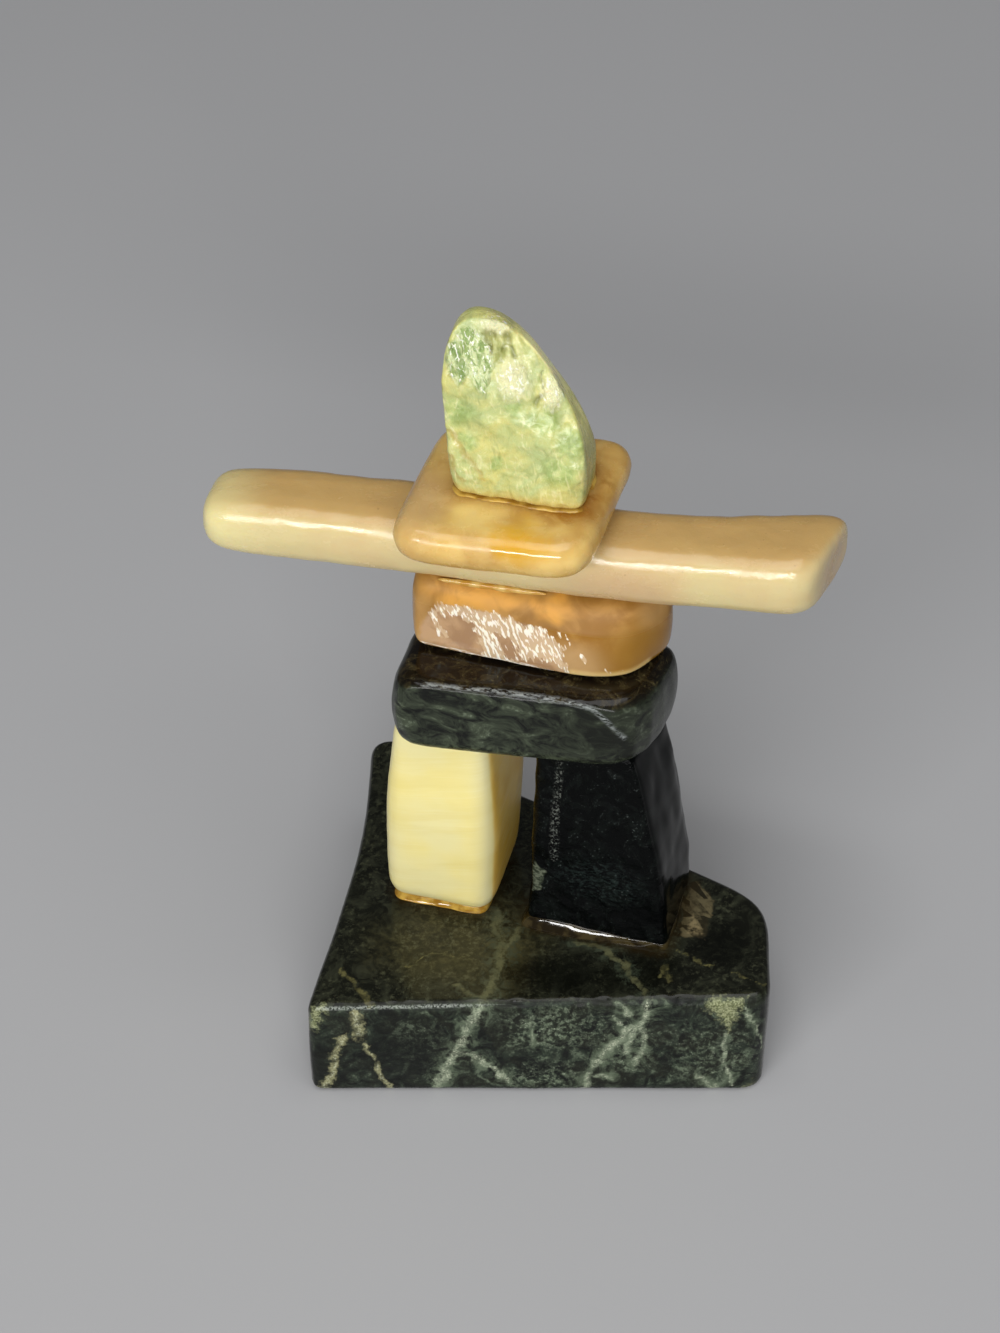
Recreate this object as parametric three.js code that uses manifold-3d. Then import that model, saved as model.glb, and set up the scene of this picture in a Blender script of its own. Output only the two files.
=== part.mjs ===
// Inukshuk: a small standing figure of eight polished stones, glued one on top of the other.
// Millimetres, +Z up. The origin is the middle of the base's underside. X runs along the base's
// sawn front face and Y runs to the back. The figure stands turned a little on its base.

import * as THREE from 'three';
import { mergeVertices } from 'three/addons/utils/BufferGeometryUtils.js';
import Module from 'manifold-3d';

const wasm = await Module();
wasm.setup();

// The layer of glue between two stones
const GLUE_GAP = 0.3;

// Base: a sawn slab, a little thicker at its right end
const BASE_WIDTH = 56.6;
const BASE_DEPTH = 47.4;
const BASE_HEIGHT = 16.2;
const BASE_TOP_RISE = 1.9;

// Legs: their height is measured over the middle of the base
const LEG_HEIGHT = 27.8;
const LEG_GAP = 4.5;
const LEFT_LEG_WIDTH = 13.8;
const LEFT_LEG_DEPTH = 14.6;
const LEFT_LEG_TOP_WIDTH = 12.6;
const LEFT_LEG_FORWARD = 0.6;
const LEFT_LEG_YAW = -15;
const RIGHT_LEG_WIDTH = 17.8;
const RIGHT_LEG_DEPTH = 13.4;
const RIGHT_LEG_TOP_WIDTH = 13;
const RIGHT_LEG_TOP_DEPTH = 11;
const RIGHT_LEG_FORWARD = 0.5;
const RIGHT_LEG_YAW = -17;

// Lintel: the hips, lying across both legs
const LINTEL_OVERHANG = 0.9;
const LINTEL_DEPTH = 14.4;
const LINTEL_HEIGHT = 10;
const LINTEL_YAW = -7.5;

// Torso
const TORSO_WIDTH = 29.8;
const TORSO_DEPTH = 12.4;
const TORSO_HEIGHT = 9.1;
const TORSO_YAW = -15.5;

// Arms: one long bar
const ARMS_LENGTH = 72.4;
const ARMS_DEPTH = 10.8;
const ARMS_HEIGHT = 8;
const ARMS_YAW = -11;

// Neck slab
const NECK_WIDTH = 22.9;
const NECK_DEPTH = 22.4;
const NECK_HEIGHT = 5.2;
const NECK_YAW = -10.5;

// Head: a standing chip of stone
const HEAD_WIDTH = 16.6;
const HEAD_DEPTH = 9.6;
const HEAD_HEIGHT = 20.8;
const HEAD_YAW = -14;

// How finely the stones are faceted
const ARC_STEPS = 4;
const EDGE_STEPS = 4;
const RIM_STEPS = 3;
const BODY_STEPS = 6;
const BAR_STEPS = 26;

// The sharpest rounding of an edge, and the size of the blocks that cut facets
const MIN_RADIUS = 0.2;
const CUTTER_SIZE = BASE_WIDTH + ARMS_LENGTH;

const UP = new THREE.Vector3(0, 0, 1);
const { degToRad, lerp } = THREE.MathUtils;

// Moves every edge of an outline outwards by the same distance
function growOutline(corners, distance) {
  return corners.map(([x, y, radius], i) => {
    const [beforeX, beforeY] = corners.at(i - 1);
    const [afterX, afterY] = corners[(i + 1) % corners.length];
    const facingBefore = new THREE.Vector2(y - beforeY, beforeX - x).normalize();
    const facingAfter = new THREE.Vector2(afterY - y, x - afterX).normalize();
    const stretch = distance / (1 + facingBefore.dot(facingAfter));
    const shift = facingBefore.clone().add(facingAfter).multiplyScalar(stretch);
    return [x + shift.x, y + shift.y, Math.max(radius + distance, MIN_RADIUS)];
  });
}

// The point where the rounding of a corner begins, on the side of one of its neighbours
function roundingStart(corner, neighbour, radius) {
  const edge = neighbour.clone().sub(corner);
  const reach = Math.min(radius, edge.length() * 0.45);
  return corner.clone().add(edge.setLength(reach));
}

// Corners [x, y, radius], anticlockwise, become a rounded outline with a fixed number of points
function roundedOutline(corners) {
  const spots = corners.map(([x, y]) => new THREE.Vector2(x, y));
  const ends = corners.map(([, , radius], i) => [
    roundingStart(spots[i], spots.at(i - 1), radius),
    roundingStart(spots[i], spots[(i + 1) % spots.length], radius),
  ]);
  const points = [];
  ends.forEach(([start, end], i) => {
    const curve = new THREE.QuadraticBezierCurve(start, spots[i], end);
    const side = new THREE.LineCurve(end, ends[(i + 1) % ends.length][0]);
    points.push(...curve.getPoints(ARC_STEPS));
    points.push(...side.getPoints(EDGE_STEPS).slice(1, -1));
  });
  return points;
}

// Joins rings of equally many points into one closed body, with a flat fan on each end
function loft(rings) {
  const count = rings[0].length;
  const vertices = rings.flat();
  const index = [];
  for (let level = 0; level < rings.length - 1; level += 1) {
    for (let i = 0; i < count; i += 1) {
      const a = level * count + i;
      const b = level * count + (i + 1) % count;
      index.push(a, b, b + count, a, b + count, a + count);
    }
  }
  [0, rings.length - 1].forEach((level) => {
    const middle = vertices.length;
    const sum = rings[level].reduce((total, point) => total.add(point), new THREE.Vector3());
    vertices.push(sum.divideScalar(count));
    for (let i = 0; i < count; i += 1) {
      const a = level * count + i;
      const b = level * count + (i + 1) % count;
      index.push(...(level === 0 ? [middle, b, a] : [middle, a, b]));
    }
  });
  const geometry = new THREE.BufferGeometry().setFromPoints(vertices);
  geometry.setIndex(index);
  return geometry;
}

// Heights and insets of a stone's levels: its bottom rim, its body and its top rim
function stoneLevels(height, rims) {
  const [bottomRim, topRim] = rims.map((share) => share * height);
  const rim = (radius) => Array.from({ length: RIM_STEPS }, (_, i) => {
    const angle = (i / RIM_STEPS) * (Math.PI / 2);
    return { rise: radius * (1 - Math.cos(angle)), inset: radius * (1 - Math.sin(angle)) };
  });
  const body = Array.from({ length: BODY_STEPS + 1 }, (_, i) => (
    { rise: lerp(bottomRim, height - topRim, i / BODY_STEPS), inset: 0 }));
  const top = rim(topRim).reverse().map(({ rise, inset }) => ({ rise: height - rise, inset }));
  return [...rim(bottomRim), ...body, ...top];
}

// The slow waves in a face that was ground and polished by hand, between -1 and 1
function wave({ x, y, z }, length) {
  const k = (2 * Math.PI) / length;
  return Math.sin(k * (x + 0.6 * z)) * Math.cos(k * (y - 0.4 * z));
}

// A stone between two flat faces. `foot` and `top` list its outline's corners [u, v, radius], in
// shares of its width, depth and depth. `lean` shifts its top, and `bow` its middle, in shares of
// width and depth. `belly` and `unevenness` are shares of the depth, and `rims` of the height.
function stone(spec) {
  const { width, depth, height, foot, top = foot, topWidth = width, topDepth = depth } = spec;
  const { rims, lean = [0, 0], bow = [0, 0], belly = 0, unevenness = 0 } = spec;
  const { footSlope = [0, 0], topSlope = [0, 0] } = spec;
  const rings = stoneLevels(height, rims).map(({ rise, inset }) => {
    const t = rise / height;
    const middle = Math.sin(Math.PI * t);
    const bulge = middle * depth;
    const corners = foot.map(([u, v, radius], i) => [
      lerp(u * width, top[i][0] * topWidth, t) + (lean[0] * t + bow[0] * middle) * width,
      lerp(v * depth, top[i][1] * topDepth, t) + (lean[1] * t + bow[1] * middle) * depth,
      lerp(radius, top[i][2], t) * depth,
    ]);
    return roundedOutline(growOutline(corners, belly * bulge - inset)).map(({ x, y }) => {
      const footRise = footSlope[0] * x + footSlope[1] * y;
      const topRise = topSlope[0] * x + topSlope[1] * y;
      const point = new THREE.Vector3(x, y, rise + lerp(footRise, topRise, t));
      const sideways = new THREE.Vector3(x, y, 0).normalize();
      return point.addScaledVector(sideways, unevenness * bulge * wave(point, width));
    });
  });
  return loft(rings);
}

// A bar along X, from stations like { at: share of length, depth, height, back, up, radius, slant }.
// `back` and `up` shift a section, and `slant` turns it, so that its rear edge lies further along.
function bar(length, stations) {
  const along = (key) => new THREE.SplineCurve(
    stations.map((station) => new THREE.Vector2(station.at * length, station[key] ?? 0)));
  const curves = ['depth', 'height', 'back', 'up', 'radius', 'slant'].map(along);
  const rings = Array.from({ length: BAR_STEPS + 1 }, (_, i) => {
    const spots = curves.map((curve) => curve.getPoint(i / BAR_STEPS));
    const [depth, height, back, up, radius, slant] = spots.map((spot) => spot.y);
    const section = [[-0.5, 0], [0.5, 0], [0.5, 1], [-0.5, 1]];
    return roundedOutline(section.map(([u, v]) => [u * depth, v * height, radius]))
      .map(({ x, y }) => new THREE.Vector3(spots[0].x + slant * x, x + back, y + up));
  });
  return loft(rings);
}

function toSolid(geometry) {
  return new wasm.Manifold(new wasm.Mesh({
    numProp: 3,
    vertProperties: new Float32Array(geometry.attributes.position.array),
    triVerts: new Uint32Array(geometry.index.array),
  }));
}

function toGeometry(solid) {
  const { vertProperties, triVerts } = solid.getMesh();
  const geometry = new THREE.BufferGeometry();
  geometry.setAttribute('position', new THREE.BufferAttribute(new Float32Array(vertProperties), 3));
  geometry.setIndex(new THREE.BufferAttribute(new Uint32Array(triVerts), 1));
  return geometry;
}

// Cuts flat facets, each [spot, facing]: everything beyond the plane through `spot` that faces
// along `facing` goes
function facets(geometry, cuts) {
  const solid = cuts.reduce((rest, [spot, facing]) => {
    const block = new THREE.BoxGeometry(CUTTER_SIZE, CUTTER_SIZE, CUTTER_SIZE);
    block.deleteAttribute('normal');
    block.deleteAttribute('uv');
    block.translate(0, 0, CUTTER_SIZE / 2);
    const direction = new THREE.Vector3(...facing).normalize();
    block.applyQuaternion(new THREE.Quaternion().setFromUnitVectors(UP, direction));
    block.translate(...spot);
    return rest.subtract(toSolid(mergeVertices(block)));
  }, toSolid(geometry));
  return toGeometry(solid);
}

// A named stone in its own colour, with the middle of its foot at its seat's x, y and z
function place(name, geometry, seat, color, roughness) {
  geometry.computeVertexNormals();
  const material = new THREE.MeshStandardMaterial({ color, roughness, metalness: 0 });
  const mesh = new THREE.Mesh(geometry, material);
  mesh.name = name;
  mesh.position.set(seat.x, seat.y, seat.z);
  mesh.rotation.z = degToRad(seat.yaw);
  return mesh;
}

// A step [dx, dy] in a turned stone's own directions, as a step in X and Y
function turned([dx, dy], yaw) {
  const cos = Math.cos(degToRad(yaw));
  const sin = Math.sin(degToRad(yaw));
  return [dx * cos - dy * sin, dx * sin + dy * cos];
}

// The seat of the next stone: on top of the one below, at shares of its width and depth from the
// middle, and over one layer of glue
function seatOn(below, [u, v], yaw, width, depth, height) {
  const [dx, dy] = turned([u * below.width, v * below.depth], below.yaw);
  const z = below.z + below.height + GLUE_GAP;
  return { x: below.x + dx, y: below.y + dy, z, yaw, width, depth, height };
}

// Base

const baseSeat = { x: 0, y: 0, z: 0, yaw: 0 };
const baseTopSlope = BASE_TOP_RISE / BASE_WIDTH;

function base() {
  return stone({
    width: BASE_WIDTH,
    depth: BASE_DEPTH,
    height: BASE_HEIGHT,
    foot: [
      [-0.492, -0.5, 0.038], [0.495, -0.5, 0.063], [0.508, -0.212, 0.084], [0.47, -0.127, 0.084],
      [-0.323, 0.5, 0.053], [-0.376, 0.478, 0.042], [-0.385, 0.134, 0.3], [-0.437, -0.208, 0.25],
    ],
    rims: [0.055, 0.068],
    topSlope: [baseTopSlope, 0],
    unevenness: 0.005,
  });
}

// Legs: both rise from the sloping base to one level

const legGapMiddle = [-0.025 * BASE_WIDTH, -0.0614 * BASE_DEPTH];
const legTop = BASE_HEIGHT + GLUE_GAP + LEG_HEIGHT;
const leftLegLean = [0.043, 0.02];
const rightLegLean = [-0.146, 0.164];

// A leg stands beside the gap: `side` is -1 for the left leg and 1 for the right one
function legSeat(side, width, depth, yaw, forward) {
  const [dx, dy] = turned([side * (LEG_GAP + width) / 2, 0], yaw);
  const x = legGapMiddle[0] + dx;
  const y = legGapMiddle[1] + dy - forward;
  const z = BASE_HEIGHT + GLUE_GAP + baseTopSlope * x;
  return { x, y, z, yaw, width, depth, height: legTop - z };
}

// The base's slope in the directions of a turned leg
function legFootSlope(yaw) {
  return turned([baseTopSlope, 0], -yaw);
}

const leftLegSeat = legSeat(-1, LEFT_LEG_WIDTH, LEFT_LEG_DEPTH, LEFT_LEG_YAW, LEFT_LEG_FORWARD);
const rightLegSeat = legSeat(1, RIGHT_LEG_WIDTH, RIGHT_LEG_DEPTH, RIGHT_LEG_YAW, RIGHT_LEG_FORWARD);

function leftLeg() {
  return stone({
    ...leftLegSeat,
    foot: [[-0.5, -0.48, 0.2], [0.49, -0.5, 0.18], [0.5, 0.5, 0.18], [-0.48, 0.5, 0.2]],
    top: [[-0.5, -0.48, 0.18], [0.45, -0.5, 0.12], [0.51, 0.5, 0.18], [-0.48, 0.5, 0.2]],
    topWidth: LEFT_LEG_TOP_WIDTH,
    lean: leftLegLean,
    rims: [0.09, 0.03],
    belly: 0.045,
    footSlope: legFootSlope(LEFT_LEG_YAW),
  });
}

function rightLeg() {
  return stone({
    ...rightLegSeat,
    foot: [[-0.5, -0.5, 0.09], [0.5, -0.5, 0.07], [0.5, 0.5, 0.19], [-0.48, 0.5, 0.19]],
    top: [[-0.5, -0.5, 0.08], [0.42, -0.5, 0.06], [0.52, 0.5, 0.19], [-0.48, 0.5, 0.19]],
    topWidth: RIGHT_LEG_TOP_WIDTH,
    topDepth: RIGHT_LEG_TOP_DEPTH,
    lean: rightLegLean,
    bow: [0.03, 0],
    rims: [0.03, 0.03],
    belly: 0.03,
    footSlope: legFootSlope(RIGHT_LEG_YAW),
  });
}

// Lintel: it spans both legs' tops and stands out in front of them

// The middle of a leaning leg's top
function legTopMiddle({ x, y, width, depth, yaw }, lean) {
  const [dx, dy] = turned([lean[0] * width, lean[1] * depth], yaw);
  return [x + dx, y + dy];
}

const leftTop = legTopMiddle(leftLegSeat, leftLegLean);
const rightTop = legTopMiddle(rightLegSeat, rightLegLean);
const lintelSeat = {
  x: (leftTop[0] + rightTop[0]) / 2 + 0.04 * LINTEL_DEPTH,
  y: (leftTop[1] + rightTop[1]) / 2 - 0.15 * LINTEL_DEPTH,
  z: legTop + GLUE_GAP,
  yaw: LINTEL_YAW,
  width: LEFT_LEG_TOP_WIDTH + LEG_GAP + RIGHT_LEG_TOP_WIDTH + 2 * LINTEL_OVERHANG,
  depth: LINTEL_DEPTH,
  height: LINTEL_HEIGHT,
};

function lintel() {
  const body = stone({
    ...lintelSeat,
    foot: [[-0.5, -0.46, 0.28], [0.42, -0.5, 0.42], [0.53, 0.4, 0.28], [-0.45, 0.5, 0.28]],
    rims: [0.15, 0.18],
    belly: 0.04,
  });
  const groundFront = [[0, -0.49 * LINTEL_DEPTH, 0.5 * LINTEL_HEIGHT], [-0.03, -1, 0.12]];
  return facets(body, [groundFront]);
}

// Torso: its front leans back to the arms, with one chipped facet low on the left

const torsoSeat = seatOn(lintelSeat, [0.012, 0.27], TORSO_YAW, TORSO_WIDTH, TORSO_DEPTH, TORSO_HEIGHT);

function torso() {
  const body = stone({
    ...torsoSeat,
    foot: [
      [-0.45, -0.5, 0.12], [0.36, -0.52, 0.48], [0.52, 0.1, 0.48],
      [0.46, 0.5, 0.32], [-0.42, 0.5, 0.24], [-0.5, -0.15, 0.16],
    ],
    top: [
      [-0.45, -0.3, 0.12], [0.36, -0.3, 0.32], [0.5, 0.1, 0.32],
      [0.45, 0.42, 0.32], [-0.42, 0.42, 0.24], [-0.5, -0.05, 0.16],
    ],
    rims: [0.08, 0.18],
    belly: 0.04,
  });
  const chip = [[-0.2 * TORSO_WIDTH, -0.48 * TORSO_DEPTH, 0], [-0.045, -1, 0.19]];
  return facets(body, [chip]);
}

// Arms: the left end is blunt and round, and the right end flares and is cut off at a slant

const armsSeat = seatOn(torsoSeat, [-0.1, 0.02], ARMS_YAW, ARMS_LENGTH, ARMS_DEPTH, ARMS_HEIGHT);

function arms() {
  const d = ARMS_DEPTH;
  const h = ARMS_HEIGHT;
  const r = 0.34 * d;
  return bar(ARMS_LENGTH, [
    { at: -0.5, depth: 0.5 * d, height: 0.45 * h, back: -0.05 * d, up: 0.3 * h, radius: 0.5 * r },
    { at: -0.492, depth: 0.72 * d, height: 0.65 * h, back: -0.05 * d, up: 0.2 * h, radius: 0.7 * r },
    { at: -0.475, depth: 0.88 * d, height: 0.82 * h, back: -0.05 * d, up: 0.11 * h, radius: 0.9 * r },
    { at: -0.44, depth: 0.96 * d, height: 0.93 * h, back: -0.04 * d, up: 0.05 * h, radius: r },
    { at: -0.34, depth: 0.98 * d, height: 0.98 * h, back: -0.02 * d, up: 0.02 * h, radius: r },
    { at: -0.22, depth: d, height: h, radius: r },
    { at: -0.1, depth: d, height: h, radius: r },
    { at: 0.05, depth: d, height: h, radius: r },
    { at: 0.2, depth: d, height: h, radius: r },
    { at: 0.3, depth: d, height: h, back: 0.04 * d, radius: r, slant: 0.05 },
    { at: 0.4, depth: 1.1 * d, height: 1.02 * h, back: 0.12 * d, up: 0.01 * h, radius: r, slant: 0.18 },
    { at: 0.455, depth: 1.16 * d, height: 1.02 * h, back: 0.16 * d, up: 0.03 * h, radius: r, slant: 0.26 },
    { at: 0.48, depth: 1.1 * d, height: 0.96 * h, back: 0.18 * d, up: 0.06 * h, radius: r, slant: 0.3 },
    { at: 0.49, depth: 0.98 * d, height: 0.84 * h, back: 0.18 * d, up: 0.12 * h, radius: r, slant: 0.3 },
    { at: 0.494, depth: 0.8 * d, height: 0.66 * h, back: 0.18 * d, up: 0.2 * h, radius: r, slant: 0.3 },
  ]);
}

// Neck slab: a cushion-like slab whose sides are turned further than its front

const neckSeat = seatOn(armsSeat, [-0.004, -0.13], NECK_YAW, NECK_WIDTH, NECK_DEPTH, NECK_HEIGHT);

function neckSlab() {
  return stone({
    ...neckSeat,
    foot: [[-0.555, -0.5, 0.23], [0.445, -0.5, 0.23], [0.555, 0.5, 0.18], [-0.445, 0.5, 0.18]],
    rims: [0.48, 0.45],
  });
}

// Head: its outline is drawn from the front, and its thickness runs from back to front. The first
// facet is its seat, the second cuts off its left front corner, the third is a broken face at its
// upper left, and the last two lean its front back, the upper part the most.

const headSeat = seatOn(neckSeat, [0.03, 0.045], HEAD_YAW, HEAD_WIDTH, HEAD_DEPTH, HEAD_HEIGHT);

function head() {
  const [w, d, h] = [HEAD_WIDTH, HEAD_DEPTH, HEAD_HEIGHT];
  const chip = stone({
    width: w,
    depth: h,
    height: d,
    foot: [
      [-0.41, -0.05, 0.1], [0.49, -0.05, 0.07], [0.48, 0.25, 0.19], [0.21, 0.62, 0.24],
      [-0.13, 0.95, 0.19], [-0.42, 0.98, 0.17], [-0.52, 0.8, 0.19], [-0.465, 0.35, 0.29],
    ],
    top: [
      [-0.41, -0.05, 0.1], [0.49, -0.05, 0.07], [0.515, 0.33, 0.19], [0.345, 0.745, 0.24],
      [-0.04, 1.035, 0.19], [-0.39, 1.02, 0.17], [-0.49, 0.83, 0.19], [-0.465, 0.35, 0.29],
    ],
    rims: [0.31, 0.18],
  });
  chip.rotateX(Math.PI / 2);
  chip.translate(0, d / 2, 0);
  return facets(chip, [
    [[0, 0, 0], [0, 0, -1]],
    [[-0.41 * w, -0.36 * d, 0], [-0.65, -0.7, -0.3]],
    [[-0.34 * w, -0.4 * d, 0.7 * h], [-0.3, -0.85, 0.3]],
    [[0, -0.5 * d, 0.12 * h], [0, -1, 0.12]],
    [[0, -0.36 * d, 0.55 * h], [0.22, -0.85, 0.42]],
  ]);
}

const group = new THREE.Group();
group.add(
  place('base', base(), baseSeat, 0x2c332b, 0.35),
  place('left_leg', leftLeg(), leftLegSeat, 0xe6dc9f, 0.4),
  place('right_leg', rightLeg(), rightLegSeat, 0x14171a, 0.35),
  place('lintel', lintel(), lintelSeat, 0x22272a, 0.35),
  place('torso', torso(), torsoSeat, 0xb98650, 0.3),
  place('arms', arms(), armsSeat, 0xd2b27e, 0.3),
  place('neck_slab', neckSlab(), neckSeat, 0xc49a5e, 0.3),
  place('head', head(), headSeat, 0xbfc88f, 0.35),
);

export default group;
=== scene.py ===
"""A small inukshuk of polished stones, glued one on top of the other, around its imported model.

Places and sizes on the stones are in millimetres in the model's own frame: the origin is the
middle of the base's underside, X runs along its sawn front and Y runs to the back.
"""

import math

import bpy
import numpy as np
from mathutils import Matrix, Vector, noise
from mathutils.bvhtree import BVHTree


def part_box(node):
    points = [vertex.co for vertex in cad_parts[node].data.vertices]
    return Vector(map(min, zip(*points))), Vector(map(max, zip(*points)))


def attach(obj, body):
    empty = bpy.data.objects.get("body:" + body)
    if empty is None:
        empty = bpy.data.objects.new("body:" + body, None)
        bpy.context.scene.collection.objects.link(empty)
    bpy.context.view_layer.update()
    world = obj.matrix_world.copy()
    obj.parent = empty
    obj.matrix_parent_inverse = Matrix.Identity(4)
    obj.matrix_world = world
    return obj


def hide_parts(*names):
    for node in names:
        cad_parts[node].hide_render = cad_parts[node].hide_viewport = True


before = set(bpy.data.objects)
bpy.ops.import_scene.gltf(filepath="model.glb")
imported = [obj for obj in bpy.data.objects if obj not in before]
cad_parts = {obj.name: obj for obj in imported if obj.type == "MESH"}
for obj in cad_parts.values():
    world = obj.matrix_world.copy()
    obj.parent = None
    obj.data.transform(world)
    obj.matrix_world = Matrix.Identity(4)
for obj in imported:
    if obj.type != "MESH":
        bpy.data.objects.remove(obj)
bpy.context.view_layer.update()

MM = 0.001

# Camera, at the photo's viewing angle: with a tilt of 0 degrees it would look straight down
CAMERA_PLACE = (-4.4, -260.6, 283.9)
CAMERA_TILT = 48
CAMERA_LENS = 80.07
CLIP_START = 10

# Light, floor and sky, with their sizes in metres
LIT_PLACE = Vector((0, 0, 0.05))
FLOOR_SIZE = 6
FLOOR_COLOR = (0.4, 0.4, 0.405)
FLOOR_ROUGHNESS = 0.9
SKY_COLOR = (0.09, 0.093, 0.1)


# Camera and studio


def link(item):
    bpy.context.scene.collection.objects.link(item)
    return item


def camera():
    data = bpy.data.cameras.new("camera")
    data.lens = CAMERA_LENS
    data.clip_start = CLIP_START * MM
    eye = link(bpy.data.objects.new("camera", data))
    eye.location = Vector(CAMERA_PLACE) * MM
    eye.rotation_euler = (math.radians(CAMERA_TILT), 0, 0)
    bpy.context.scene.camera = eye


def softbox(name, azimuth, elevation, distance, size, power):
    """A rectangular light facing the figure. Azimuth 0 is in front of it, and + is towards +X."""
    data = bpy.data.lights.new(name, "AREA")
    data.shape = "RECTANGLE"
    data.size, data.size_y = size
    data.energy = power
    light = link(bpy.data.objects.new(name, data))
    around = math.radians(azimuth)
    up = math.radians(elevation)
    level = math.cos(up)
    direction = Vector((level * math.sin(around), -level * math.cos(around), math.sin(up)))
    light.location = LIT_PLACE + direction * distance
    light.rotation_euler = direction.to_track_quat("Z", "Y").to_euler()


def studio():
    bpy.context.scene.view_settings.view_transform = "Standard"
    world = bpy.data.worlds.new("sky")
    world.use_nodes = True
    world.node_tree.nodes["Background"].inputs["Color"].default_value = (*SKY_COLOR, 1)
    bpy.context.scene.world = world
    softbox("window", azimuth=-14, elevation=27, distance=0.9, size=(0.9, 0.11), power=8)
    softbox("ceiling", azimuth=10, elevation=76, distance=1.2, size=(1.0, 1.0), power=8)

    bpy.ops.mesh.primitive_plane_add(size=FLOOR_SIZE)
    floor = bpy.context.object
    floor.name = "floor"
    paper = bpy.data.materials.new("paper")
    paper.use_nodes = True
    shader = paper.node_tree.nodes["Principled BSDF"]
    shader.inputs["Base Color"].default_value = (*FLOOR_COLOR, 1)
    shader.inputs["Roughness"].default_value = FLOOR_ROUGHNESS
    floor.data.materials.append(paper)


# Shader nodes


def srgb(red, green, blue):
    """A colour as seen on a screen, 0 to 255, as the linear colour that shaders take"""
    def linear(value):
        share = value / 255
        return share / 12.92 if share <= 0.04045 else ((share + 0.055) / 1.055) ** 2.4
    return (linear(red), linear(green), linear(blue), 1)


class Stone:
    """A material under construction: each call adds nodes and gives back their output"""

    def __init__(self, name):
        self.material = bpy.data.materials.new(name)
        self.material.use_nodes = True
        self.tree = self.material.node_tree
        self.shader = self.tree.nodes["Principled BSDF"]
        coordinates = self.add("TexCoord")
        scale = self.add("VectorMath", operation="SCALE")
        self.tree.links.new(coordinates.outputs["Object"], scale.inputs[0])
        scale.inputs["Scale"].default_value = 1 / MM
        self.place = scale.outputs[0]

    def add(self, kind, **settings):
        node = self.tree.nodes.new("ShaderNode" + kind)
        for key, value in settings.items():
            setattr(node, key, value)
        return node

    def put(self, value, socket):
        if isinstance(value, bpy.types.NodeSocket):
            self.tree.links.new(value, socket)
        else:
            socket.default_value = value

    def turned(self, degrees, stretch):
        """The place in turned axes, stretched so that patterns get longer along them"""
        node = self.add("Mapping", vector_type="TEXTURE")
        self.put(self.place, node.inputs["Vector"])
        self.put([math.radians(angle) for angle in degrees], node.inputs["Rotation"])
        self.put(stretch, node.inputs["Scale"])
        return node.outputs[0]

    def noise(self, size, detail, rough=0.5, warp=0.0, place=None):
        """Smooth noise around 0.5 with lumps of about this size"""
        node = self.add("TexNoise")
        self.put(place or self.place, node.inputs["Vector"])
        self.put(1 / size, node.inputs["Scale"])
        self.put(detail, node.inputs["Detail"])
        self.put(rough, node.inputs["Roughness"])
        self.put(warp, node.inputs["Distortion"])
        return node.outputs["Fac"]

    def crystals(self, size, stretch):
        """A random shade from 0 to 1 for each cell of about this size"""
        node = self.add("TexVoronoi", feature="F1")
        self.put(self.turned((25, 10, 40), stretch), node.inputs["Vector"])
        self.put(1 / size, node.inputs["Scale"])
        split = self.add("SeparateColor")
        self.put(node.outputs["Color"], split.inputs[0])
        return split.outputs[0]

    def math(self, operation, a, b):
        node = self.add("Math", operation=operation)
        self.put(a, node.inputs[0])
        self.put(b, node.inputs[1])
        return node.outputs[0]

    def both(self, a, b):
        return self.math("MULTIPLY", a, b)

    def ramp(self, value, low, high, start=0.0, end=1.0):
        """Smoothly from start, where the value is at low, to end, where it is at high"""
        node = self.add("MapRange", interpolation_type="SMOOTHSTEP")
        limits = {"From Min": low, "From Max": high, "To Min": start, "To Max": end}
        for name, number in limits.items():
            self.put(number, node.inputs[name])
        self.put(value, node.inputs["Value"])
        return node.outputs["Result"]

    def mix(self, share, a, b):
        """Colour a, or b where the share is 1"""
        node = self.add("Mix", data_type="RGBA")
        factor, _, _, _, _, _, first, second = node.inputs[:8]
        self.put(share, factor)
        self.put(a, first)
        self.put(b, second)
        return node.outputs[2]

    def tint(self, color, share, strength, b):
        """A colour with another laid over it where the share is 1"""
        return self.mix(self.both(share, strength), color, b)

    def mark(self, name):
        """A value that the mesh carries at each of its points"""
        return self.add("Attribute", attribute_name=name).outputs["Fac"]

    def ragged(self, name, texture, reach):
        """A distance that the mesh carries, with an edge broken up by a texture around 0.5"""
        shift = self.both(self.math("SUBTRACT", texture, 0.5), reach)
        return self.math("ADD", self.mark(name), shift)

    def finish(self, color, roughness, relief, depth, **constants):
        """Connects the shader. Relief is a height around 0 to 1 and depth is its size in mm.

        The constants are named as the shader's inputs, with _ for a space.
        """
        self.put(color, self.shader.inputs["Base Color"])
        self.put(roughness, self.shader.inputs["Roughness"])
        bump = self.add("Bump")
        bump.inputs["Distance"].default_value = depth * MM
        self.put(relief, bump.inputs["Height"])
        self.put(bump.outputs["Normal"], self.shader.inputs["Normal"])
        for name, value in constants.items():
            self.put(value, self.shader.inputs[name.replace("_", " ")])
        return self.material


def translucent(weight, millimetres, spread=(1.0, 0.65, 0.3)):
    """Settings of a stone that light enters, redder light the furthest"""
    return {
        "Subsurface_Weight": weight,
        "Subsurface_Radius": spread,
        "Subsurface_Scale": millimetres * MM,
    }


# Materials


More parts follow.
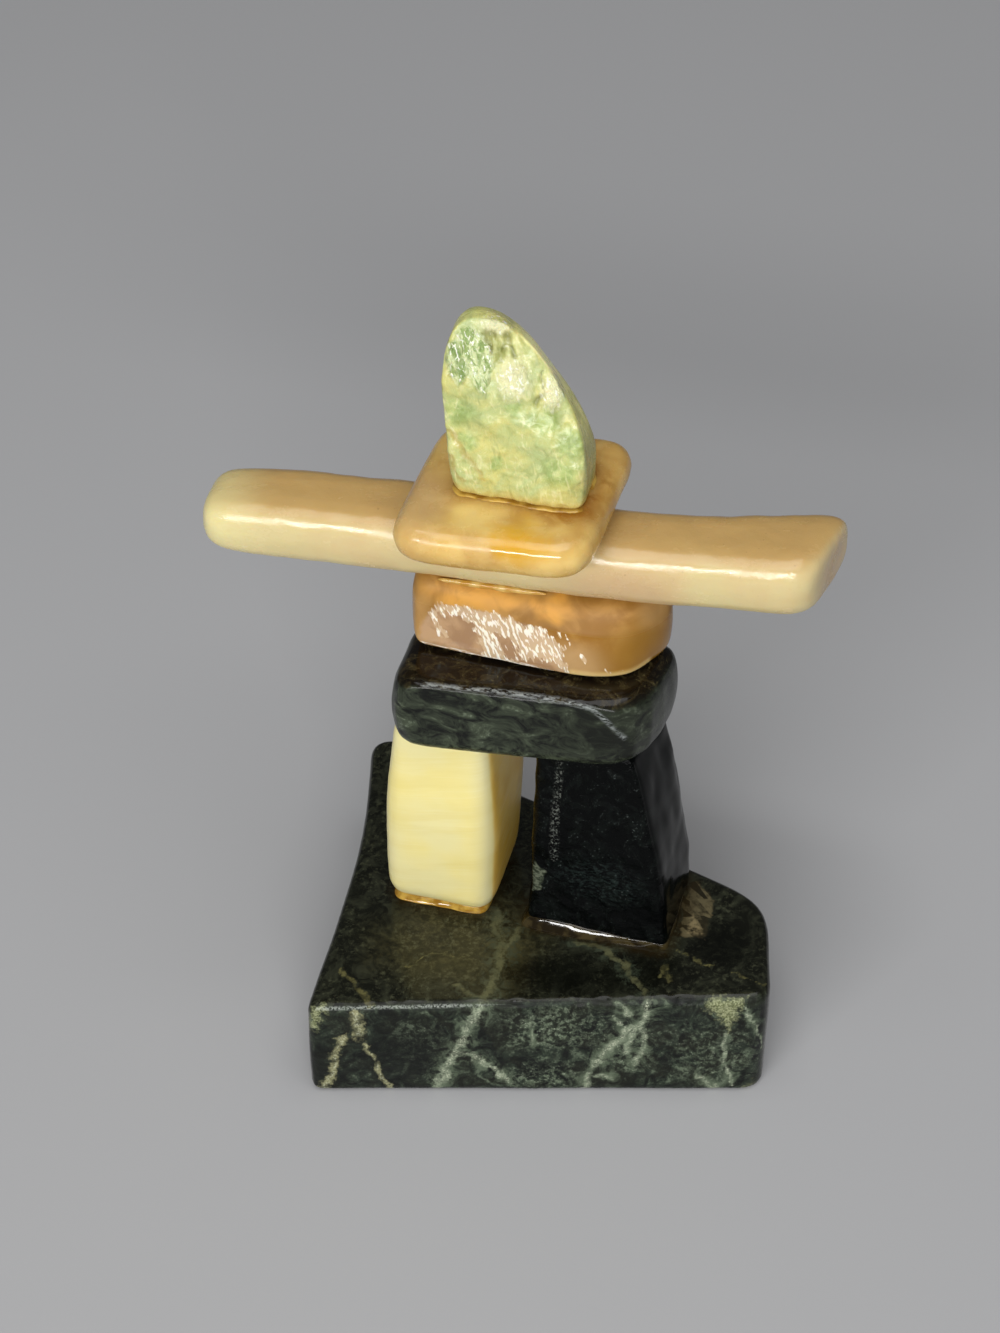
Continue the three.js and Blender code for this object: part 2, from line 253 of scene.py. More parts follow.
def serpentine():
    """Dark green stone with pale veins: near black where polished, mottled where sawn"""
    m = Stone("serpentine")
    sawn = m.mark("sawn")
    cloud = m.noise(6, detail=3, warp=0.8)
    patch = m.noise(2.4, detail=6, rough=0.62, warp=1.4)
    grain = m.noise(0.7, detail=6, rough=0.75)
    fine = m.noise(0.22, detail=3, rough=0.6)

    top = m.mix(m.ramp(patch, 0.4, 0.7), srgb(19, 20, 14), srgb(44, 46, 35))
    olive = m.both(m.mark("olive"), m.ramp(patch, 0.3, 0.62, 0.3, 1))
    olive_color = m.mix(m.ramp(grain, 0.4, 0.62), srgb(42, 40, 24), srgb(70, 66, 40))
    top = m.tint(top, olive, 0.8, olive_color)
    grains = m.both(m.ramp(grain, 0.5, 0.68), m.ramp(cloud, 0.34, 0.6))
    top = m.tint(top, grains, 0.45, srgb(92, 95, 73))
    top = m.tint(top, m.mark("shade"), 0.8, srgb(6, 7, 4))

    front = m.mix(m.ramp(patch, 0.4, 0.6), srgb(7, 10, 7), srgb(36, 44, 34))
    front = m.tint(front, m.ramp(cloud, 0.56, 0.42), 0.5, srgb(28, 29, 19))
    granular = m.both(m.ramp(grain, 0.45, 0.6), m.ramp(patch, 0.36, 0.58, 0.2, 1))
    granular = m.both(granular, m.mark("granular"))
    front = m.tint(front, granular, 0.8, srgb(104, 116, 94))
    front = m.tint(front, m.both(m.ramp(fine, 0.54, 0.7), granular), 0.9, srgb(168, 176, 154))
    mottled = m.both(m.ramp(patch, 0.56, 0.66), m.ramp(grain, 0.4, 0.56))
    front = m.tint(front, mottled, 0.5, srgb(112, 124, 102))
    front = m.tint(front, m.mark("shade"), 0.75, srgb(8, 11, 7))
    color = m.mix(sawn, top, front)

    beside = m.both(m.ramp(m.ragged("vein", grain, 12.0), 3.0, 0.8), m.ramp(patch, 0.42, 0.58))
    color = m.tint(color, beside, m.ramp(sawn, 0, 1, 0.2, 0.5), srgb(100, 112, 90))
    lit = m.ramp(m.noise(1.6, detail=4, rough=0.6), 0.36, 0.62, 0.3, 1)
    lit = m.both(lit, m.ramp(fine, 0.3, 0.55, 0.6, 1))
    vein = m.both(m.ramp(m.ragged("vein", grain, 4.0), 1.2, 0.3), lit)
    pale = m.mix(sawn, srgb(92, 92, 64), srgb(140, 150, 126))
    color = m.tint(color, vein, 0.85, pale)
    warm_vein = m.both(m.ramp(m.ragged("warm_vein", grain, 4.0), 1.2, 0.3), lit)
    warm = m.mix(sawn, srgb(104, 100, 62), srgb(158, 156, 116))
    color = m.tint(color, warm_vein, 0.85, warm)
    cores = m.math("MINIMUM", m.ragged("vein", grain, 3.0), m.ragged("warm_vein", grain, 3.0))
    bright = m.both(m.both(m.ramp(cores, 0.5, 0.0), m.ramp(fine, 0.46, 0.6)), sawn)
    color = m.tint(color, bright, 0.6, srgb(196, 200, 174))
    pale_patch = m.ramp(m.ragged("patch", grain, 5.0), 0.3, -0.9)
    pale_patch = m.both(pale_patch, m.ramp(grain, 0.3, 0.5, 0.4, 1))
    patch_color = m.mix(m.ramp(fine, 0.4, 0.6), srgb(112, 118, 78), srgb(182, 186, 142))
    color = m.tint(color, pale_patch, 0.7, patch_color)

    crystals = m.both(m.crystals(1.7, (0.5, 1.8, 1)), m.ramp(grain, 0.3, 0.6, 0.5, 1))
    included = m.mix(m.ramp(crystals, 0.15, 0.75), srgb(40, 36, 24), srgb(102, 93, 67))
    glassy = m.both(m.mark("glassy"), m.ramp(grain, 0.36, 0.6))
    included = m.tint(included, glassy, 0.7, srgb(146, 130, 94))
    color = m.tint(color, m.ramp(m.ragged("inclusion", patch, 1.4), 0.15, -0.35), 0.85, included)

    stain = m.ramp(m.ragged("glue", patch, 3.0), 2.2, 0.2)
    color = m.tint(color, stain, 0.45, srgb(44, 32, 10))

    # The front-top edge paler: small chips, and a painted highlight along the edge that fades
    # towards +X
    broken = m.both(m.ramp(m.mark("arris"), 0.5, 0.1), m.ramp(fine, 0.4, 0.55))
    color = m.tint(color, broken, 0.8, srgb(190, 196, 186))

    satin = m.ramp(sawn, 0, 1, 0.14, 0.4)
    satin = m.math("ADD", satin, m.ramp(m.mark("arris"), 1.2, 0.3, 0, 0.3))
    roughness = m.math("ADD", satin, m.both(m.math("SUBTRACT", grain, 0.5), 0.3))
    relief = m.both(m.math("ADD", grain, patch), m.ramp(sawn, 0, 1, 0.1, 1.0))
    return m.finish(color, roughness, relief, depth=0.05, Specular_IOR_Level=0.24)


def cream_calcite():
    """Cream stone with faint level bands, golden where the light comes through its side"""
    m = Stone("cream_calcite")
    bands = m.noise(2.2, detail=4, rough=0.6, place=m.turned((0, -16, 0), (12, 12, 1)))
    lines = m.noise(0.3, detail=2, place=m.turned((0, -15, 0), (24, 24, 1)))
    cloud = m.noise(8, detail=2)
    color = m.mix(m.ramp(cloud, 0.35, 0.65), srgb(234, 220, 146), srgb(232, 222, 162))
    color = m.tint(color, m.ramp(bands, 0.44, 0.66), 0.3, srgb(220, 202, 116))
    color = m.tint(color, m.ramp(lines, 0.5, 0.75), 0.1, srgb(250, 244, 206))
    # A painted sheen: the front paler towards its right edge
    color = m.tint(color, m.mark("pale"), 0.85, srgb(198, 192, 152))
    side = m.mark("side")
    golden = m.mix(m.ramp(cloud, 0.4, 0.6), srgb(232, 186, 74), srgb(242, 204, 104))
    color = m.tint(color, side, 0.92, golden)
    low = m.ramp(m.mark("foot"), m.ramp(side, 0, 1, 1.9, 6.0), 0.4)
    color = m.tint(color, low, 0.65, srgb(190, 128, 34))
    roughness = m.ramp(lines, 0.3, 0.7, 0.28, 0.42)
    inner_light = translucent(0.3, 1.2, (1.0, 0.9, 0.7))
    return m.finish(color, roughness, lines, depth=0.012, Specular_IOR_Level=0.3, **inner_light)


def black_stone():
    """Black stone with a green hint, smooth at its side and grainy at its front"""
    m = Stone("black_stone")
    front = m.mark("front")
    patch = m.noise(2.2, detail=6, rough=0.62, warp=1.0)
    grain = m.noise(0.35, detail=3, rough=0.7, place=m.turned((0, -8, 0), (2, 2, 1)))
    color = m.mix(m.ramp(patch, 0.45, 0.7), srgb(3, 4, 4), srgb(10, 14, 12))
    textured = m.both(m.mark("band"), m.ramp(grain, 0.46, 0.66))
    color = m.tint(color, textured, 0.35, srgb(48, 60, 56))
    dust = m.noise(0.3, detail=4, rough=0.75)
    # Pale specks along the worn line: small chips, with painted glints on them
    specks = m.both(m.ramp(m.ragged("worn", patch, 1.6), 1.0, 0.2), m.ramp(dust, 0.5, 0.62))
    color = m.tint(color, specks, 0.75, srgb(112, 116, 108))
    glints = m.both(m.both(m.ramp(dust, 0.6, 0.68), m.ramp(patch, 0.5, 0.6)), front)
    color = m.tint(color, glints, 0.6, srgb(96, 104, 100))
    fleck = m.ramp(m.ragged("fleck", patch, 1.6), 0.0, -0.35)
    fleck_color = m.mix(m.ramp(grain, 0.42, 0.6), srgb(48, 54, 42), srgb(104, 110, 92))
    color = m.tint(color, fleck, 0.8, fleck_color)
    roughness = m.math("ADD", 0.16, m.both(m.ramp(patch, 0.3, 0.7), m.both(front, 0.2)))
    relief = m.both(m.math("ADD", grain, patch), m.ramp(front, 0, 1, 0.05, 1))
    return m.finish(color, roughness, relief, depth=0.09, Specular_IOR_Level=0.09)


def dark_serpentine():
    """Green-black stone with grey-green streaks on its ground front and a brown, polished top"""
    m = Stone("dark_serpentine")
    front = m.mark("front")
    drawn_out = m.turned((0, 10, -8), (1.9, 1.6, 1))
    streaks = m.noise(1.9, detail=7, rough=0.66, warp=1.1, place=drawn_out)
    patch = m.noise(2.0, detail=6, rough=0.62, warp=1.4)
    grain = m.noise(0.5, detail=5, rough=0.72)
    color = m.mix(m.ramp(streaks, 0.36, 0.66), srgb(11, 13, 10), srgb(62, 69, 54))
    pale = m.both(m.ramp(streaks, 0.54, 0.68), m.ramp(grain, 0.46, 0.62))
    color = m.tint(color, pale, 0.65, srgb(118, 128, 108))
    low = m.both(m.ramp(m.mark("foot"), 3.6, 0.6), m.ramp(patch, 0.46, 0.62))
    color = m.tint(color, low, 0.5, srgb(98, 108, 84))
    color = m.tint(color, m.mark("right"), 0.5, srgb(20, 23, 16))
    top = m.mix(m.ramp(patch, 0.45, 0.72), srgb(18, 14, 9), srgb(58, 50, 30))
    grains = m.both(m.ramp(grain, 0.54, 0.66), m.ramp(patch, 0.48, 0.6))
    top = m.tint(top, grains, 0.5, srgb(104, 98, 62))
    color = m.mix(front, top, color)
    flecks = m.both(m.ramp(grain, 0.66, 0.76), m.ramp(patch, 0.52, 0.62))
    color = m.tint(color, flecks, 0.6, srgb(150, 156, 138))
    scratched = m.noise(0.22, detail=4, rough=0.75, place=m.turned((0, 3, -8), (5, 2, 1)))
    # The top front edge paler: white scratches, with a painted highlight along it
    worn = m.both(m.ramp(m.ragged("arris", scratched, 2.2), 1.0, 0.2), m.ramp(scratched, 0.42, 0.6))
    color = m.tint(color, worn, 0.7, srgb(176, 182, 180))
    roughness = m.ramp(front, 0, 1, 0.12, 0.26)
    uneven = m.both(m.math("ADD", grain, streaks), m.ramp(front, 0, 1, 0.1, 0.8))
    relief = m.math("ADD", uneven, worn)
    return m.finish(color, roughness, relief, depth=0.04, Specular_IOR_Level=0.26)


def amber_calcite():
    """Honey-orange stone with one flat, tan chip, scratched white"""
    m = Stone("amber_calcite")
    cloud = m.noise(4.5, detail=4, rough=0.55, warp=0.8)
    color = m.mix(m.ramp(cloud, 0.35, 0.65), srgb(152, 106, 34), srgb(182, 136, 66))
    color = m.tint(color, m.mark("low"), 0.75, srgb(184, 150, 102))
    color = m.tint(color, m.mark("gold"), 0.9, srgb(140, 98, 14))
    orange = m.both(m.mark("orange"), m.ramp(cloud, 0.3, 0.6, 0.5, 1))
    color = m.tint(color, orange, 0.85, srgb(230, 168, 68))
    color = m.tint(color, m.mark("grey"), 0.6, srgb(172, 136, 84))
    # A painted highlight along the lower right edge
    color = m.tint(color, m.mark("thin"), 0.8, srgb(240, 208, 140))
    chip = m.ramp(m.mark("chip"), -0.25, 0.35)
    tan = m.mix(m.ramp(cloud, 0.4, 0.6), srgb(168, 134, 102), srgb(192, 158, 122))
    color = m.tint(color, chip, 0.8, tan)
    hatch = m.noise(0.3, detail=1, rough=0.5, place=m.turned((0, -26, 0), (1, 1, 24)))
    streaky = m.noise(0.45, detail=2, rough=0.5, place=m.turned((0, -26, 0), (1, 1, 7)))
    region = m.ramp(m.ragged("scratched", streaky, 2.6), -0.1, 0.15)
    color = m.tint(color, region, 0.65, srgb(218, 192, 156))
    scratches = m.both(region, m.ramp(hatch, 0.48, 0.6))
    color = m.tint(color, scratches, 0.95, srgb(252, 244, 226))
    lines = m.noise(0.3, detail=2, rough=0.5, place=m.turned((0, 4, -15), (14, 1, 1)))
    rim = m.both(m.ramp(m.ragged("rim", lines, 0.8), 0.42, 0.28), m.ramp(lines, 0.4, 0.5))
    color = m.tint(color, rim, 0.9, srgb(252, 244, 228))
    marks = m.math("MAXIMUM", scratches, rim)
    roughness = m.math("ADD", m.ramp(m.mark("dull"), 0, 1, 0.18, 0.62), m.both(marks, 0.25))
    return m.finish(color, roughness, marks, depth=0.03, **translucent(0.4, 2.6, (1.0, 0.78, 0.45)))


def peach_calcite():
    """Pale honey stone, tan on its top: partly its own tone, partly painted shade"""
    m = Stone("peach_calcite")
    cloud = m.noise(7, detail=3, rough=0.5, warp=0.4)
    fine = m.noise(0.5, detail=5, rough=0.7)
    color = m.mix(m.ramp(cloud, 0.35, 0.65), srgb(210, 194, 142), srgb(208, 186, 136))
    # Pinker and darker: partly its own tone, partly painted shade that holds down the middle's
    # brightness
    color = m.tint(color, m.mark("pink_and_shade"), 0.8, srgb(196, 165, 123))
    # The top painted tan: partly its own tone, partly painted shade where it faces away from the
    # light
    color = m.tint(color, m.mark("tan_and_shaded_top"), 0.85, srgb(188, 150, 88))
    color = m.tint(color, m.mark("left_end"), 0.6, srgb(224, 216, 158))
    color = m.tint(color, m.ramp(fine, 0.55, 0.8), 0.14, srgb(168, 122, 72))
    specks = m.both(m.ramp(m.noise(0.45, detail=1), 0.72, 0.8), m.ramp(cloud, 0.5, 0.58))
    color = m.tint(color, specks, 0.25, srgb(112, 78, 48))
    rubbed = m.noise(3.0, detail=5, rough=0.6, place=m.turned((0, 0, 0), (2.2, 1, 1)))
    roughness = m.ramp(rubbed, 0.44, 0.62, 0.09, 0.3)
    roughness = m.math("ADD", roughness, m.both(m.math("SUBTRACT", fine, 0.5), 0.2))
    return m.finish(color, roughness, fine, depth=0.03, **translucent(0.35, 2.4))


def honey_calcite():
    """Translucent honey stone with a golden cloud, browner around the glued foot of the head"""
    m = Stone("honey_calcite")
    cloud = m.noise(6, detail=3, rough=0.5, warp=0.8)
    swirl = m.noise(2.6, detail=5, rough=0.55, warp=0.5)
    color = m.mix(m.ramp(cloud, 0.3, 0.7), srgb(194, 154, 84), srgb(214, 178, 102))
    color = m.tint(color, m.ramp(swirl, 0.45, 0.75), 0.35, srgb(226, 196, 124))
    color = m.tint(color, m.mark("pale"), 0.5, srgb(232, 204, 128))
    gold = m.ramp(m.ragged("gold", swirl, 1.6), 1.3, 0.1)
    color = m.tint(color, gold, 0.85, srgb(208, 156, 22))
    brown = m.both(m.mark("brown"), m.ramp(swirl, 0.3, 0.6, 0.4, 1))
    color = m.tint(color, brown, 0.75, srgb(164, 114, 38))
    color = m.tint(color, m.mark("grey"), 0.6, srgb(190, 158, 112))
    stain = m.both(m.ramp(m.mark("glue"), 2.8, 0.0), m.ramp(swirl, 0.3, 0.6, 0.5, 1))
    color = m.tint(color, stain, 0.85, srgb(142, 88, 14))
    rubbed = m.noise(2.6, detail=5, rough=0.65)
    roughness = m.ramp(rubbed, 0.44, 0.6, 0.08, 0.34)
    relief = m.math("ADD", swirl, rubbed)
    return m.finish(color, roughness, relief, depth=0.04, **translucent(0.4, 2.6))


def green_stone():
    """Mottled pale green stone, yellower on its rim, with one flaked and glittering hollow"""
    m = Stone("green_stone")
    cloud = m.noise(4.6, detail=4, rough=0.55, warp=0.6)
    mottle = m.noise(1.5, detail=6, rough=0.64, warp=0.3)
    grain = m.noise(0.3, detail=3, rough=0.7)
    color = m.mix(m.ramp(cloud, 0.34, 0.66), srgb(206, 200, 122), srgb(180, 192, 130))
    mint = m.mix(m.ramp(mottle, 0.4, 0.65), srgb(172, 190, 118), srgb(136, 160, 86))
    color = m.tint(color, m.mark("mint"), 0.8, mint)
    color = m.tint(color, m.ramp(mottle, 0.5, 0.72), 0.5, srgb(150, 158, 84))
    color = m.tint(color, m.ramp(mottle, 0.46, 0.3), 0.5, srgb(226, 222, 160))
    wisps = m.noise(1.2, detail=5, rough=0.62, warp=0.6, place=m.turned((0, -14, 0), (1, 1, 2.2)))
    color = m.tint(color, m.ramp(wisps, 0.54, 0.68), 0.5, srgb(238, 236, 182))
    color = m.tint(color, m.ramp(wisps, 0.46, 0.34), 0.4, srgb(134, 148, 84))
    # A painted sheen on the lit bulge
    color = m.tint(color, m.mark("bright"), 0.7, srgb(240, 236, 192))
    rim = m.mix(m.ramp(mottle, 0.4, 0.65), srgb(234, 228, 138), srgb(200, 200, 114))
    rim = m.tint(rim, m.mark("low_rim"), 0.9, srgb(156, 136, 60))
    # Painted light on the upper part of the rim
    rim = m.tint(rim, m.mark("rim_painted_light"), 0.9, srgb(250, 244, 184))
    color = m.tint(color, m.mark("rim"), 0.85, rim)
    flakes = m.noise(0.75, detail=2, rough=0.6, warp=0.8, place=m.turned((0, -14, 0), (1, 1, 3)))
    deep = m.mix(m.ramp(flakes, 0.4, 0.56), srgb(144, 168, 98), srgb(220, 228, 176))
    deep = m.tint(deep, m.mark("streak"), 0.8, srgb(108, 142, 72))
    color = m.tint(color, m.mark("flaked"), 0.85, deep)
    # The hollow olive, and darkened with painted shade in its recess
    hollow = m.both(m.mark("hollow"), m.ramp(wisps, 0.6, 0.4, 0.3, 1))
    color = m.tint(color, hollow, 0.75, srgb(132, 130, 62))
    pits = m.both(m.mark("pits"), m.ramp(wisps, 0.62, 0.42, 0.5, 1))
    color = m.tint(color, pits, 0.85, srgb(104, 108, 52))
    color = m.tint(color, m.mark("chips"), 0.45, srgb(176, 146, 72))
    scratches = m.noise(0.3, detail=2, place=m.turned((0, -12, 0), (1, 1, 12)))
    foot = m.mark("foot")
    scratched = m.both(m.ramp(foot, 9, 3), m.ramp(scratches, 0.58, 0.7))
    color = m.tint(color, scratched, 0.3, srgb(246, 240, 190))
    color = m.tint(color, m.ramp(foot, 2.0, 0.2), 0.6, srgb(204, 172, 86))
    # Glints painted over the flaked zone and the painted sheen, where the surface is also smoother
    glassy = m.math("MAXIMUM", m.mark("flaked"), m.mark("bright"))
    glints = m.noise(0.42, detail=2, rough=0.6, warp=0.3, place=m.turned((0, -18, 0), (1, 1, 3.6)))
    color = m.tint(color, m.both(m.ramp(glints, 0.56, 0.64), glassy), 0.9, srgb(255, 255, 238))
    roughness = m.math("SUBTRACT", m.ramp(wisps, 0.35, 0.65, 0.36, 0.18), m.both(glassy, 0.08))
    sparkle = m.both(m.math("ADD", flakes, m.both(grain, 0.5)), glassy)
    uneven = m.both(m.math("ADD", mottle, m.both(grain, 0.15)), 0.6)
    relief = m.math("ADD", uneven, m.both(sparkle, 1.8))
    return m.finish(color, roughness, relief, depth=0.24, **translucent(0.2, 1.2))


def clear_glue(name, pale, deep):
    """Glue that has set clear and glossy, deeper in colour in some places"""
    m = Stone(name)
    lump = m.noise(1.6, detail=3)
    color = m.mix(m.ramp(lump, 0.38, 0.62), pale, deep)
    return m.finish(color, 0.07, lump, depth=0.02, Transmission_Weight=0.3, IOR=1.5)


# Places on the stones, measured at their meshes' points in mm. A distance grows and a depth
# shrinks where the surface turns away, as by (1 - front) * 3, so that a mark stays on its face.

# Noise: what widens it to about -1 to 1, how steep its crests are, and how far apart seeds are
NOISE_GAIN = 1.6
CREST_GAIN = 1.4
SEED_STEP = (7.3, 3.1, 5.7)

# The share of a soft ball's radii that its core takes up
BALL_CORE = 0.3

# A foot's outline: how high the band is that it is taken from, and in how many directions
FOOT_BAND = 1.2
OUTLINE_STEPS = 48


def lumps(points, size, seed):
    """Smooth noise of about -1 to 1 at each point, with lumps of about this size"""
    shift = Vector([seed * step for step in SEED_STEP])
    return np.array([noise.noise(Vector(point) / size + shift) for point in points]) * NOISE_GAIN


def crests(points, size, seed):
    """Noise from 0 to 1 with sharp crests at 1"""
    return 1 - np.clip(np.abs(lumps(points, size, seed)) * CREST_GAIN, 0, 1)


def shaken(points, size, reach, seed):
    """The points moved about by smooth noise, so that what is measured from them is jagged"""
    return points + reach * np.column_stack([lumps(points, size, seed + k) for k in range(3)])


def smooth_step(values, low, high):
    share = np.clip((values - low) / (high - low), 0, 1)
    return share * share * (3 - 2 * share)


def from_middle(points, middle, radii):
    """How far each point is from a ball's middle, in shares of the ball's radii"""
    return np.linalg.norm((points - np.array(middle)) / np.array(radii), axis=1)


def near(points, middle, radii):
    """1 in the core of a soft ball and 0 beyond its radii"""
    return 1 - smooth_step(from_middle(points, middle, radii), BALL_CORE, 1)


def any_near(points, balls):
    return np.max([near(points, middle, radii) for middle, radii in balls], axis=0)


def from_path(points, path):
    """How far each point is from a path of straight pieces"""
    best = np.full(len(points), np.inf)
    for start, end in zip(path, path[1:]):
        start = np.array(start, float)
        along = np.array(end, float) - start
        if not along.any():
            continue
        share = np.clip((points - start) @ along / (along @ along), 0, 1)
        gap = np.linalg.norm(points - start - share[:, None] * along, axis=1)
        best = np.minimum(best, gap)
    return best


def from_any(points, paths):
    """The distance to the nearest of several paths"""
    return np.min([from_path(points, path) for path in paths], axis=0)


def from_bands(points, bands):
    """The distance to the nearest of several paths, in shares of its own half width"""
    return np.min([from_path(points, path) / width for width, path in bands], axis=0)


def inside(spots, outline):
    """How deep each flat spot lies inside a closed outline, and negative outside it"""
    closed = [*outline, outline[0]]
    crossings = np.zeros(len(spots), int)
    for (ax, ay), (bx, by) in zip(closed, closed[1:]):
        between = (spots[:, 1] < ay) != (spots[:, 1] < by)
        rise = by - ay if by != ay else 1
        crossings += between & (spots[:, 0] < ax + (spots[:, 1] - ay) / rise * (bx - ax))
    return from_path(spots, closed) * np.where(crossings % 2 == 1, 1, -1)


def inside_any(spots, outlines):
    """How deep each flat spot lies inside any of several closed outlines"""
    return np.max([inside(spots, outline) for outline in outlines], axis=0)


def facing(normals, direction, low=0.5, high=0.9):
    """1 where a surface faces along a direction"""
    towards = np.array(direction, float) / np.linalg.norm(direction)
    return smooth_step(normals @ towards, low, high)


def seen_flat(points):
    """The points as seen straight from the front"""
    return points[:, [0, 2]]


def low_end(node):
    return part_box(node)[0].z / MM


# Fine stones

# How far a smoothing pass pulls a point towards its neighbours, and how many passes soften an edge
# by about one face
SMOOTHING = 0.5
PASSES = 2


def even_copy(node, face, softness):
    """A copy of a solid with small even faces and edges rounded by about this softness, in mm"""
    source = link(bpy.data.objects.new(node + "_source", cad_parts[node].data.copy()))
    remesh = source.modifiers.new("even", "REMESH")
    remesh.mode = "VOXEL"
    remesh.voxel_size = face * MM
    smooth = source.modifiers.new("soft", "SMOOTH")
    smooth.factor = SMOOTHING
    smooth.iterations = round(PASSES * (softness / face) ** 2)
    shown = source.evaluated_get(bpy.context.evaluated_depsgraph_get())
    mesh = bpy.data.meshes.new_from_object(shown)
    bpy.data.objects.remove(source)
    mesh.materials.clear()
    return link(bpy.data.objects.new(node + "_stone", mesh))


def points_of(mesh):
    """The mesh's points in mm, and the directions that its surface faces there"""
    points = np.zeros(len(mesh.vertices) * 3)
    normals = np.zeros(len(mesh.vertices) * 3)
    mesh.vertices.foreach_get("co", points)
    mesh.vertices.foreach_get("normal", normals)
    return points.reshape(-1, 3) / MM, normals.reshape(-1, 3)


def fine_stone(node, material, rise, marks, face, softness):
    """One stone: rise gives how far its points move outwards in mm, and marks gives named values"""
    piece = even_copy(node, face, softness)
    mesh = piece.data
    points, normals = points_of(mesh)
    moved = points + normals * rise(points, normals)[:, None]
    mesh.vertices.foreach_set("co", (moved * MM).ravel())
    for name, values in marks(points, normals).items():
        mesh.attributes.new(name, "FLOAT", "POINT").data.foreach_set("value", values)
    mesh.materials.append(material)
    mesh.shade_smooth()
    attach(piece, "root")
    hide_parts(node)
    return piece


def foot_outline(node):
    """The outline of a stone's foot, as level points in mm"""
    points, _ = points_of(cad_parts[node].data)
    low = points[points[:, 2] < points[:, 2].min() + FOOT_BAND][:, :2]
    middle = low.mean(axis=0)
    angles = np.linspace(0, 2 * np.pi, OUTLINE_STEPS)
    ways = [np.array((math.cos(angle), math.sin(angle))) for angle in angles]
    return [low[np.argmax((low - middle) @ way)] for way in ways]


def from_foot(points, node):
    """How far each point is, level, from the outline of the foot of a stone that stands on it"""
    return from_path(points[:, :2], foot_outline(node))


# Base: its front and top are unrolled into one flat sheet, so that veins run on over the edge

FRONT = -23.7


def unrolled(points):
    """X, and the way up the front and on over the top"""
    return np.column_stack([points[:, 0], points[:, 2] + points[:, 1] - FRONT])


# Half width and course of each vein, in the unrolled sheet
VEINS = [
    (0.75, [(-5, 31), (-4, 25), (-6, 17), (-8, 12.5), (-10, 6.5), (-12.5, 0)]),
    (0.35, [(-2, 28.5), (-4, 24)]),
    (0.35, [(-10, 19), (-6.5, 17)]),
    (0.4, [(-8.7, 7), (-5, 4.2), (-3, 1.5)]),
    (0.5, [(5, 26.5), (8.3, 25), (10.2, 22.8), (12, 20), (13.3, 17), (13.6, 14.6), (12.8, 12.4),
           (11.3, 10.4), (11, 7)]),
    (0.4, [(12.8, 12), (13, 8), (12, 5)]),
    (0.6, [(12.8, 12.5), (10.9, 11.2), (9.6, 9), (7.5, 5.8), (6.4, 3), (6, 0)]),
    (0.3, [(9.5, 16.5), (11.3, 14.3)]),
    (0.3, [(9.8, 14), (10.8, 11)]),
    (0.6, [(8, 2.8), (9.2, 2.5)]),
    (0.25, [(-0.7, 12.7), (-0.3, 9)]),
    (0.35, [(22.7, 11), (22.8, 6), (24.2, 1.4)]),
    (0.25, [(25, 15.6), (28, 8)]),
    (0.3, [(19.5, 3), (22.5, 0.6)]),
]
WARM_VEINS = [
    (0.85, [(-22, 14.7), (-21.5, 10.5)]),
    (0.4, [(-21, 9), (-19.5, 5), (-18, 0)]),
    (0.65, [(-23.5, 10.5), (-24.5, 6.5), (-26, 0)]),
    (0.4, [(-24, 21.5), (-21, 18.3), (-19.8, 15.8)]),
    (0.15, [(-15.7, 22), (-13.5, 24), (-10.5, 24), (-8.3, 23)]),
    (0.25, [(17.2, 25), (21.3, 22.4)]),
    (0.3, [(15, 20.8), (15.6, 22.2), (16.1, 19.7)]),
    (0.2, [(23.7, 21.3), (27.2, 19.5)]),
]

# The furthest distance to a vein that is told apart, in its half widths
VEIN_LIMIT = 6

# Outlines in the same sheet
PALE_CORNERS = [
    [(20, 15.5), (21.3, 17.6), (25.2, 17.8), (24.5, 14.7), (23, 11), (21.4, 13.5)],
    [(-28, 11.5), (-27, 16), (-25, 16.5), (-25.6, 14), (-26.5, 11.5)],
    [(25, 0), (27, 0.2), (27, 1.6)],
]
INCLUSION = [
    (19.8, 37), (22.2, 33.2), (21.5, 29.5), (20.6, 26.7), (18, 27), (17.3, 29), (18.3, 33.3),
]
GLASSY = [(19.4, 31.5), (20.9, 27.2), (18.2, 27.6), (18.6, 29.5)]

# Soft balls, each with its middle and its radii
OLIVE = [((-10, -13, 16), (13, 11, 6)), ((-3, -16, 16), (7, 9, 6))]
GRANULAR = [
    ((2.5, FRONT, 11.5), (9, 4, 5.5)),
    ((11, FRONT, 8), (5.5, 4, 6)),
    ((1, FRONT, 3), (7, 4, 4)),
]
LESS_GRANULAR = [((22, FRONT, 7), (8, 4, 8)), ((-14, FRONT, 9), (5, 4, 6))]
SHADED = [
    ((3, -19, 16), (10, 5, 3)),
    ((13, -19, 16), (9, 5, 3)),
    ((22, -15, 17), (6, 6, 3)),
    ((-16, FRONT, 7), (8, 4, 8)),
    ((-26, FRONT, 5), (5, 4, 8)),
]

# The edge between the front and the top
FRONT_EDGE = [(-27.5, -23.55, 15.1), (28, -23.55, 16.9)]


def base_rise(points, normals):
    sawn = facing(normals, (0, -1, 0), 0.3, 0.8)
    chips = np.clip(lumps(points, 0.9, 1) - 0.1, 0, 1) * 0.3
    edge = 1 - smooth_step(from_path(points, FRONT_EDGE), 0.2, 1.0)
    underside = facing(normals, (0, 0, -1))
    uneven = 0.08 * lumps(points, 9, 2) + 0.03 * lumps(points, 0.9, 3) * sawn
    return (uneven - chips * edge) * (1 - underside)


